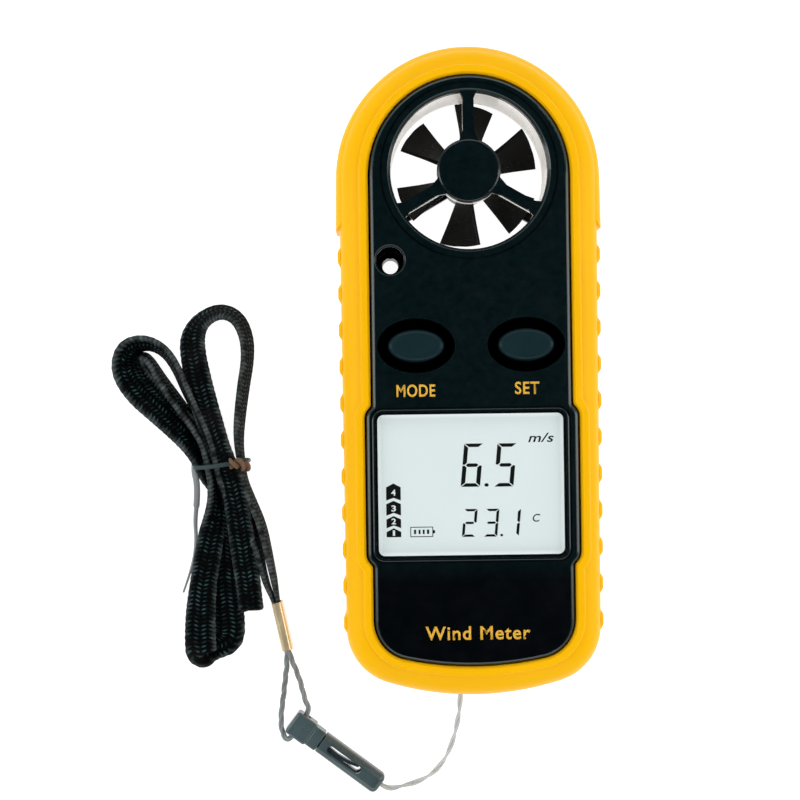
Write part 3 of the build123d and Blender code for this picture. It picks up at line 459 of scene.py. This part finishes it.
# neck strap: x, y, z, roll (0 lies flat, 90 stands on its edge), width, thickness
E90 = 90
W, T = 4.6, 1.1
ROUTE = [
    (-31.35, -39.6, 1.9, 90, 2.6, 0.55), (-31.75, -37.4, 1.9, 90, 2.8, 0.60), (-32.25, -34.0, 2.2, 90, 3.8, 1.0), (-33.05, -29.9, 2.5, 88, W, T),
    (-34.05, -25.0, 2.7, 84, W, T), (-35.75, -20.8, 2.8, 84, 4.4, T), (-37.05, -17.4, 2.9, 86, 4.2, T), (-37.35, -14.5, 2.9, 88, 4.1, T),
    (-37.75, -11.5, 2.7, 84, 4.3, T), (-37.7, -8.2, 2.5, 80, W, T), (-36.9, -2.0, 2.5, 76, W, T), (-36.1, 2.35, 2.5, 76, W, T), (-36.2, 6.2, 2.5, 72, W, T),
    (-37.7, 9.5, 2.5, 68, W, T), (-40.6, 10.6, 2.6, 60, W, T), (-43.7, 9.0, 2.7, 52, W, T), (-45.2, 6.2, 2.9, 26, 4.5, T), (-44.95, 3.0, 3.3, 8, 4.3, T),
    (-44.3, -0.2, 3.6, 4, 4.4, T), (-43.4, -4.1, 3.9, 4, 4.5, T), (-42.15, -8.35, 4.2, 8, 4.4, T), (-40.9, -12.0, 4.3, 14, 4.0, T), (-39.8, -14.5, 4.3, 16, 3.8, T),
    (-38.6, -18.0, 4.4, 8, 4.0, T), (-37.8, -23.0, 4.3, 2, 4.1, T), (-37.1, -28.8, 4.0, 0, 4.2, T), (-36.45, -33.7, 3.7, 0, 4.1, T), (-36.15, -36.6, 3.5, 0, 4.0, T),
    (-36.1, -38.1, 3.1, 0, 4.0, T), (-36.1, -38.4, 2.0, 0, 4.0, T), (-36.3, -37.6, 1.05, 0, 4.0, T), (-36.8, -34.0, 0.9, 0, 4.0, T), (-37.9, -28.0, 0.95, 0, 3.9, T),
    (-38.9, -22.0, 1.6, 0, 3.7, T), (-39.9, -17.5, 2.4, 10, 3.4, T), (-40.1, -14.5, 2.3, 16, 3.2, 1.0), (-41.4, -11.6, 1.8, 46, 3.6, T), (-44.2, -9.6, 1.75, 42, 4.0, T),
    (-47.6, -6.9, 1.75, 36, 4.2, T), (-50.8, -3.9, 1.75, 34, 4.3, T), (-52.9, -1.0, 1.8, 40, 4.4, T), (-54.1, 1.5, 2.1, 56, 4.4, T), (-53.8, 3.3, 2.2, 74, 4.3, T),
    (-52.4, 2.8, 2.3, 84, 4.3, T), (-50.5, -0.4, 2.3, 80, 4.4, T), (-48.1, -3.9, 2.4, 74, 4.4, T), (-45.6, -7.4, 2.5, 76, 4.3, T), (-43.4, -11.2, 2.7, 84, 4.1, T),
    (-42.75, -14.5, 2.9, 86, 4.0, T), (-41.9, -17.8, 3.2, 80, 4.2, T), (-41.5, -21.8, 3.5, 58, 4.2, T), (-42.7, -27.8, 3.6, 12, 4.4, T), (-43.8, -34.0, 3.4, 0, 4.4, T),
    (-44.35, -39.0, 3.2, 0, 4.9, T), (-44.45, -43.0, 3.1, 0, 5.1, T), (-44.4, -45.4, 2.9, 0, 5.1, T), (-44.2, -45.7, 1.9, 0, 5.0, T), (-43.6, -45.0, 1.1, 0, 4.9, T),
    (-42.0, -44.5, 1.0, 0, 4.8, T), (-39.9, -43.5, 1.05, 0, 5.2, T), (-39.85, -40.0, 1.4, 2, 5.2, T), (-40.3, -34.5, 2.0, 4, 4.8, T), (-40.3, -28.5, 2.2, 8, 4.4, T),
    (-40.3, -22.5, 2.4, 30, 4.3, T), (-40.9, -18.0, 3.0, 82, 4.2, T), (-41.5, -14.5, 2.9, 86, 4.0, T), (-42.3, -11.0, 2.9, 82, 4.2, T), (-44.4, -6.5, 3.0, 76, 4.4, T),
    (-46.3, -2.5, 3.0, 74, 4.5, T), (-47.9, 1.5, 2.9, 72, W, T), (-49.9, 4.3, 2.8, 70, W, T), (-52.9, 5.6, 2.8, 66, W, T), (-56.0, 4.6, 2.8, 56, W, T),
    (-56.7, 1.0, 2.9, 42, W, T), (-54.4, -2.7, 3.0, 34, W, T), (-50.8, -5.9, 3.0, 34, W, T), (-47.5, -9.1, 2.9, 42, 4.5, T), (-45.2, -12.2, 2.7, 60, 4.2, T),
    (-43.9, -14.9, 2.4, 64, 3.8, T), (-42.4, -17.2, 1.3, 24, 3.6, 1.0), (-40.0, -19.4, 0.8, 6, 3.8, 1.0), (-37.6, -21.8, 1.0, 24, 4.2, T), (-35.9, -24.8, 2.1, 68, 4.5, T),
    (-34.6, -29.6, 2.5, 86, W, T), (-33.75, -34.0, 2.3, 90, 3.8, 1.0), (-32.35, -37.4, 1.9, 90, 2.8, 0.60), (-31.9, -39.6, 1.9, 90, 2.6, 0.55),
]
line = nurbs_line([r[:3] for r in ROUTE], 12)
ts, ss = tangents(line), lengths(line)
nR, nL = len(ROUTE), len(line)
at = [min(1, max(0, (k - 0.5) / (nR - 2))) * (nL - 1) for k in range(nR)]
at[-1] = nL - 1


def attr(col, i):
    for k in range(nR - 1):
        if at[k] <= i <= at[k + 1]:
            f = (i - at[k]) / max(1e-6, at[k + 1] - at[k])
            return ROUTE[k][col] * (1 - f) + ROUTE[k + 1][col] * f
    return ROUTE[-1][col]


roll = [attr(3, i) for i in range(nL)]
wid = [attr(4, i) for i in range(nL)]
thk = [attr(5, i) for i in range(nL)]


def smooth(v, n):
    return [sum(v[max(0, i - n):i + n + 1]) / len(v[max(0, i - n):i + n + 1]) for i in range(len(v))]


roll = smooth(roll, 6)
h = None
rings, uvs = [], []
K = 28
for i, p in enumerate(line):
    t = ts[i]
    c = Vector((0, 0, 1)).cross(t)
    if c.length < 0.30 and h is not None:
        c = h - t * h.dot(t)
    c.normalize()
    if h is not None and c.dot(h) < 0:
        c = -c
    h = c
    n_ = t.cross(h)
    if n_.z < 0:
        n_ = -n_
    r = radians(roll[i])
    wv, nv = h * cos(r) + n_ * sin(r), -h * sin(r) + n_ * cos(r)
    ring = []
    scal = 1 + 0.018 * sin(2 * pi * ss[i] / 1.05)
    for j in range(K):
        a = 2 * pi * j / K
        x = abs(cos(a)) ** 0.42 * (1 if cos(a) >= 0 else -1) * wid[i] / 2 * scal
        y = abs(sin(a)) ** 0.62 * (1 if sin(a) >= 0 else -1) * thk[i] / 2
        ring.append(p + wv * x + nv * y)
        uvs.append((ss[i] / 10, x / (wid[i] / 2 * scal) * 0.23))
    rings.append(ring)
# no part of the strap reaches below the surface it lies on
under = [max(0.0, 0.06 - min(q.z for q in r_)) for r_ in rings]
lift = smooth([max(under[max(0, i - 10):i + 11]) for i in range(nL)], 8)
rings = [[q + Vector((0, 0, lift[i])) for q in r_] for i, r_ in enumerate(rings)]
line = [p + Vector((0, 0, lift[i])) for i, p in enumerate(line)]
ss = lengths(line)
me = skin("neck_strap", rings, uvs, M["strap"])
strap = link("neck_strap_webbing", me)
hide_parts("neck_strap")
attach(strap, "strap")

# twist tie: a flat band round the bundle, its bare tail, and the twisted ends
tie_parts = []
tc = Vector((-40.55, -14.65, 2.95))
tr = radians(8)
tu = Vector((cos(tr), sin(tr), 0))
tv = Vector((-sin(tr), cos(tr), 0))
rings = []
NB = 72
for i in range(NB):
    a = 2 * pi * i / NB
    cx = abs(cos(a)) ** 0.55 * (1 if cos(a) >= 0 else -1) * 4.55
    cz = abs(sin(a)) ** 0.55 * (1 if sin(a) >= 0 else -1) * 2.72
    base = tc + tu * cx + Vector((0, 0, cz)) + tv * (0.12 * sin(3 * a))
    out = (tu * (cx / 4.55) + Vector((0, 0, cz / 2.72))).normalized()
    ring = []
    for j in range(12):
        b = 2 * pi * j / 12
        ring.append(base + tv * (abs(cos(b)) ** 0.6 * (1 if cos(b) >= 0 else -1) * 0.34) + out * (0.13 * sin(b) + 0.10 * (1 - abs(cos(b))) * (1 if sin(b) >= 0 else -1)))
    rings.append(ring)
tm = bpy.data.meshes.new("tie_band")
vs = [tuple(p * MM) for r in rings for p in r]
fs = [(i * 12 + j, i * 12 + (j + 1) % 12, ((i + 1) % NB) * 12 + (j + 1) % 12, ((i + 1) % NB) * 12 + j) for i in range(NB) for j in range(12)]
tm.from_pydata(vs, [], fs)
tm.materials.append(M["tie"])
for p in tm.polygons:
    p.use_smooth = True
band_o = link("tie_band", tm)
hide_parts("strap_tie")
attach(band_o, "strap")

tail_line = nurbs_line([(-44.95, -14.2, 3.2), (-45.15, -15.8, 2.9), (-44.75, -17.6, 2.3), (-44.9, -20.6, 1.4), (-45.35, -24.2, 0.75), (-45.2, -27.2, 0.5), (-45.75, -31.2, 0.4), (-47.5, -35.9, 0.3)])
tt, tl = tangents(tail_line), lengths(tail_line)
rings = []
for i, p in enumerate(tail_line):
    f = tl[i] / tl[-1]
    hw = 0.52 * (1 - f) + 0.16 * f if f > 0.35 else 0.52
    hh = Vector((0, 0, 1)).cross(tt[i]).normalized()
    nn = tt[i].cross(hh)
    rings.append([p + hh * (hw * cos(2 * pi * j / 12)) + nn * (0.17 * sin(2 * pi * j / 12)) for j in range(12)])
tail = link("tie_tail", skin("tie_tail", rings, None, M["wire"]))
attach(tail, "strap")
tw = []
tp = [(-38.9, -14.5, 5.5), (-38.1, -14.4, 5.8), (-37.3, -14.6, 5.6), (-36.7, -14.9, 5.0), (-36.4, -15.2, 4.3)]
me, _, _ = strands("tie_twist", tp, 1.9, 2, 2.6, M["twist"], 12)
twist = link("tie_twist", me)
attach(twist, "strap")

[tuple(p * MM) for p in nurbs_line(LOOP)]

# spring tongue seen through the buckle's slot
BV = Vector((-BU.y, BU.x, 0))
tongue_xy = [(5.7, -0.5), (9.4, -0.5), (11.6, -0.28), (13.2, 0.22), (13.1, 0.5), (11.0, 0.16), (9.2, 0.0), (7.4, 0.12), (5.7, 0.5)]
bmt = bmesh.new()
low_ = [bmt.verts.new(tuple((BT + BU * a_ + BV * b_ + Vector((0, 0, -0.45))) * MM)) for a_, b_ in tongue_xy]
top_ = [bmt.verts.new(tuple((BT + BU * a_ + BV * b_ + Vector((0, 0, 0.55))) * MM)) for a_, b_ in tongue_xy]
bmt.faces.new(top_)
bmt.faces.new(low_[::-1])
for i in range(len(tongue_xy)):
    j = (i + 1) % len(tongue_xy)
    bmt.faces.new((low_[i], low_[j], top_[j], top_[i]))
bmesh.ops.bevel(bmt, geom=list(bmt.edges), offset=0.00010, segments=2, affect="EDGES", clamp_overlap=True)
tgm = bpy.data.meshes.new("buckle_tongue")
bmt.to_mesh(tgm)
bmt.free()
tgm.materials.append(M["buckle"])
tongue = link("buckle_tongue", tgm)
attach(tongue, "strap")

# ------------------------------------------------------------------ display content and lettering


def plate(name, polys, z0, z1, mat):
    """Thin flat shapes in mm, each a list of (x, y), counter-clockwise."""
    b = bmesh.new()
    for poly_ in polys:
        area2 = sum(x0 * y1 - x1 * y0 for (x0, y0), (x1, y1) in zip(poly_, poly_[1:] + poly_[:1]))
        if area2 < 0:
            poly_ = poly_[::-1]
        lo_ = [b.verts.new((x * MM, y * MM, z0 * MM)) for x, y in poly_]
        hi_ = [b.verts.new((x * MM, y * MM, z1 * MM)) for x, y in poly_]
        b.faces.new(hi_)
        b.faces.new(lo_[::-1])
        for i in range(len(poly_)):
            j = (i + 1) % len(poly_)
            b.faces.new((lo_[i], lo_[j], hi_[j], hi_[i]))
    m_ = bpy.data.meshes.new(name)
    b.to_mesh(m_)
    b.free()
    m_.materials.append(mat)
    o = link(name, m_)
    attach(o, BODY)
    return o


SEGS = {"1": "bc", "2": "abged", "3": "abgcd", "5": "afgcd", "6": "afgedc"}
SL = 0.097


def digit(ch, x, y, w, h, tv_, th_, gap):
    """Seven-segment digit with mitred bars, leaning by SL; x, y is its lower left corner."""
    m = y + h / 2
    g = gap
    hz = lambda yy, up: None
    out = []
    for s_ in SEGS[ch]:
        if s_ == "a":
            q = [(g, h), (w - g, h), (w - tv_ - g, h - th_), (tv_ + g, h - th_)]
        elif s_ == "d":
            q = [(g, 0), (w - g, 0), (w - tv_ - g, th_), (tv_ + g, th_)]
        elif s_ == "g":
            q = [(tv_ * 0.65 + g, h / 2), (tv_ + g * 1.6, h / 2 + th_ / 2), (w - tv_ - g * 1.6, h / 2 + th_ / 2), (w - tv_ * 0.65 - g, h / 2), (w - tv_ - g * 1.6, h / 2 - th_ / 2), (tv_ + g * 1.6, h / 2 - th_ / 2)]
        elif s_ == "b":
            q = [(w, h - g), (w, h / 2 + g), (w - tv_ * 0.5, h / 2 + g * 0.6), (w - tv_, h / 2 + th_ / 2 + g), (w - tv_, h - th_ - g)]
        elif s_ == "c":
            q = [(w, g), (w, h / 2 - g), (w - tv_ * 0.5, h / 2 - g * 0.6), (w - tv_, h / 2 - th_ / 2 - g), (w - tv_, th_ + g)]
        elif s_ == "f":
            q = [(0, h - g), (0, h / 2 + g), (tv_ * 0.5, h / 2 + g * 0.6), (tv_, h / 2 + th_ / 2 + g), (tv_, h - th_ - g)]
        else:
            q = [(0, g), (0, h / 2 - g), (tv_ * 0.5, h / 2 - g * 0.6), (tv_, h / 2 - th_ / 2 - g), (tv_, th_ + g)]
        out.append([(x + a_ + SL * b_, y + b_) for a_, b_ in q])
    return out


def disc(x, y, rx, ry, n=16):
    return [(x + rx * cos(2 * pi * i / n), y + ry * sin(2 * pi * i / n)) for i in range(n)]


big = digit("6", -1.93, -18.27, 3.02, 6.74, 0.66, 0.54, 0.10) + digit("5", 3.26, -18.3, 3.05, 6.74, 0.66, 0.54, 0.10) + [disc(2.12, -18.02, 0.34, 0.28)]
small = digit("2", -1.85, -26.09, 2.12, 4.34, 0.42, 0.36, 0.08) + digit("3", 1.55, -26.1, 2.12, 4.34, 0.42, 0.36, 0.08) + digit("1", 4.93, -26.1, 2.12, 4.34, 0.44, 0.36, 0.10) + [disc(4.38, -25.89, 0.22, 0.2)]
plate("display_digits", big + small, 15.305, 15.335, M["ink"])
IX, IW = -12.45, 1.14


def house(apex, shoulder, bottom, notch):
    return [(IX - IW, bottom), (IX, notch), (IX + IW, bottom), (IX + IW, shoulder), (IX, apex), (IX - IW, shoulder)]


plate("display_bars", [house(-17.6, -18.2, -20.26, -19.85), house(-20.32, -20.82, -22.62, -22.19), house(-22.69, -23.22, -24.59, -24.16), house(-24.59, -25.18, -25.99, -25.99)], 15.305, 15.335, M["ink"])


def frame_polys(x0, y0, x1, y1, t):
    return [[(x0, y0), (x1, y0), (x1, y0 + t), (x0, y0 + t)], [(x0, y1 - t), (x1, y1 - t), (x1, y1), (x0, y1)],
            [(x1 - t, y0 + t), (x1, y0 + t), (x1, y1 - t), (x1 - t, y1 - t)], [(x0, y0 + t), (x0 + t, y0 + t), (x0 + t, y1 - t), (x0, y1 - t)]]


bat = frame_polys(-9.88, -26.02, -6.32, -24.42, 0.12) + [[(-6.32, -25.52), (-6.02, -25.42), (-6.02, -25.02), (-6.32, -24.92)]]
bat += [[(a_, -25.55), (b_, -25.55), (b_, -24.88), (a_, -24.88)] for a_, b_ in ((-9.31, -8.99), (-8.60, -8.30), (-7.95, -7.65), (-7.28, -6.94))]
plate("display_battery", bat, 15.305, 15.335, M["ink"])


def text(name, body, cx, cy, width, height, z0, z1, mat, bold=0.02, shear=0.0, spacing=1.0):
    """Built-in font, scaled to a width and cap height in mm about its centre."""
    cu = bpy.data.curves.new(name, "FONT")
    cu.body = body
    cu.size = 1.0
    cu.offset = bold
    cu.shear = shear
    cu.space_character = spacing
    cu.resolution_u = 6
    ob = bpy.data.objects.new(name, cu)
    scene.collection.objects.link(ob)
    bpy.context.view_layer.update()
    m_ = bpy.data.meshes.new_from_object(ob)
    bpy.data.objects.remove(ob)
    bpy.data.curves.remove(cu)
    xs, ys = [v.co.x for v in m_.vertices], [v.co.y for v in m_.vertices]
    x0, x1, y0, y1 = min(xs), max(xs), min(ys), max(ys)
    b = bmesh.new()
    b.from_mesh(m_)
    bpy.data.meshes.remove(m_)
    for v in b.verts:
        v.co = Vector(((cx + ((v.co.x - x0) / (x1 - x0) - 0.5) * width) * MM, (cy + ((v.co.y - y0) / (y1 - y0) - 0.5) * height) * MM, z1 * MM))
    r_ = bmesh.ops.extrude_face_region(b, geom=list(b.faces))
    for v in [g_ for g_ in r_["geom"] if isinstance(g_, bmesh.types.BMVert)]:
        v.co.z = z0 * MM
    bmesh.ops.recalc_face_normals(b, faces=list(b.faces))
    m2 = bpy.data.meshes.new(name)
    b.to_mesh(m2)
    b.free()
    m2.materials.append(mat)
    o = link(name, m2)
    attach(o, BODY)
    return o


text("unit_speed", "m/s", 10.72, -10.72, 4.0, 1.45, 15.305, 15.335, M["ink"], bold=0.012, shear=0.25, spacing=1.05)
text("unit_temperature", "C", 9.86, -23.26, 1.18, 1.22, 15.305, 15.335, M["ink"], bold=0.004, shear=0.2)
for n_, (ch, yy, hh_) in enumerate((("4", -19.02, 0.95), ("3", -21.5, 0.95), ("2", -23.52, 0.92), ("1", -25.36, 0.85))):
    text(f"bar_number_{ch}", ch, IX, yy, 0.72 if ch != "1" else 0.34, hh_, 15.32, 15.345, M["glass"], bold=0.02)
text("label_mode", "MODE", -8.73, -3.16, 6.05, 1.95, 16.39, 16.43, M["label"], bold=0.020, spacing=1.10)
text("label_set", "SET", 8.59, -2.94, 3.80, 1.98, 16.39, 16.43, M["label"], bold=0.020, spacing=1.10)
text("label_name", "Wind Meter", 0.42, -40.97, 16.3, 2.15, 16.39, 16.43, M["label"], bold=0.018, spacing=1.12)

# ------------------------------------------------------------------ floor, light, camera
bm = bmesh.new()
bmesh.ops.create_grid(bm, x_segments=8, y_segments=8, size=1.5)
fm = bpy.data.meshes.new("floor")
bm.to_mesh(fm)
bm.free()
floor = bpy.data.objects.new("floor", fm)
scene.collection.objects.link(floor)
floor.location = (0, 0, -0.00002)
flm, fnt, fb = new_mat("floor_paper", (0.35, 0.35, 0.35), 0.9)
fnt.links.new(ramp(fnt, noise(fnt, coords(fnt), 40.0), [(0.3, (0.345, 0.345, 0.345)), (0.7, (0.355, 0.355, 0.355))]), fb.inputs["Base Color"])
fb.inputs["Specular IOR Level"].default_value = 0.0
fb.inputs["Emission Color"].default_value = (1, 1, 1, 1)
fb.inputs["Emission Strength"].default_value = 0.95
fm.materials.append(flm)

world = bpy.data.worlds.new("studio")
scene.world = world
world.use_nodes = True
wnt = world.node_tree
wtc = wnt.nodes.new("ShaderNodeTexCoord")
wsp = wnt.nodes.new("ShaderNodeSeparateXYZ")
wnt.links.new(wtc.outputs["Generated"], wsp.inputs["Vector"])
wcol = ramp(wnt, wsp.outputs["Z"], [(0.0, (1.0, 1.0, 1.0)), (0.45, (0.62, 0.62, 0.62)), (0.80, (0.04, 0.04, 0.04)), (1.0, (0.004, 0.004, 0.004))])
wnt.links.new(wcol, wnt.nodes["Background"].inputs["Color"])
wnt.nodes["Background"].inputs["Strength"].default_value = 0.60


def area(name, loc, target, size, power, colour=(1, 1, 1), size_y=None):
    l = bpy.data.lights.new(name, "AREA")
    l.energy = power
    l.color = colour
    l.size = size
    if size_y:
        l.shape = "RECTANGLE"
        l.size_y = size_y
    o = bpy.data.objects.new(name, l)
    scene.collection.objects.link(o)
    o.location = loc
    o.rotation_mode = "QUATERNION"
    o.rotation_quaternion = (Vector(target) - Vector(loc)).to_track_quat("-Z", "Y")
    return o


area("softbox_left", (-0.50, 0.02, 0.38), (0, 0, 0), 0.25, 2.2, size_y=0.8)
area("softbox_right", (0.50, 0.02, 0.38), (0, 0, 0), 0.25, 2.2, size_y=0.8)
area("fill_top", (0.0, 0.52, 0.36), (0, 0, 0), 0.8, 1.45, size_y=0.3)
area("fill_bottom", (0.0, -0.52, 0.36), (0, 0, 0), 0.8, 1.45, size_y=0.3)

cd = bpy.data.cameras.new("camera")
cd.sensor_width = 36.0
cd.lens = 36.0 * 1598.0 / 800.0
cd.clip_start = 0.005
cd.clip_end = 10.0
cam = bpy.data.objects.new("camera", cd)
scene.collection.objects.link(cam)
right = Vector((0.999905, -0.013613, 0.001252))
down = Vector((-0.013611, -0.999905, -0.001252))
fwd = Vector((0.001269, 0.001235, -0.999998))
cam.matrix_world = Matrix((
    (right.x, -down.x, -fwd.x, -0.011537),
    (right.y, -down.y, -fwd.y, -0.004877),
    (right.z, -down.z, -fwd.z, 0.265),
    (0, 0, 0, 1)))
scene.camera = cam
scene.view_settings.view_transform = "Standard"
scene.view_settings.look = "None"
scene.view_settings.exposure = 0.0
scene.view_settings.gamma = 1.0
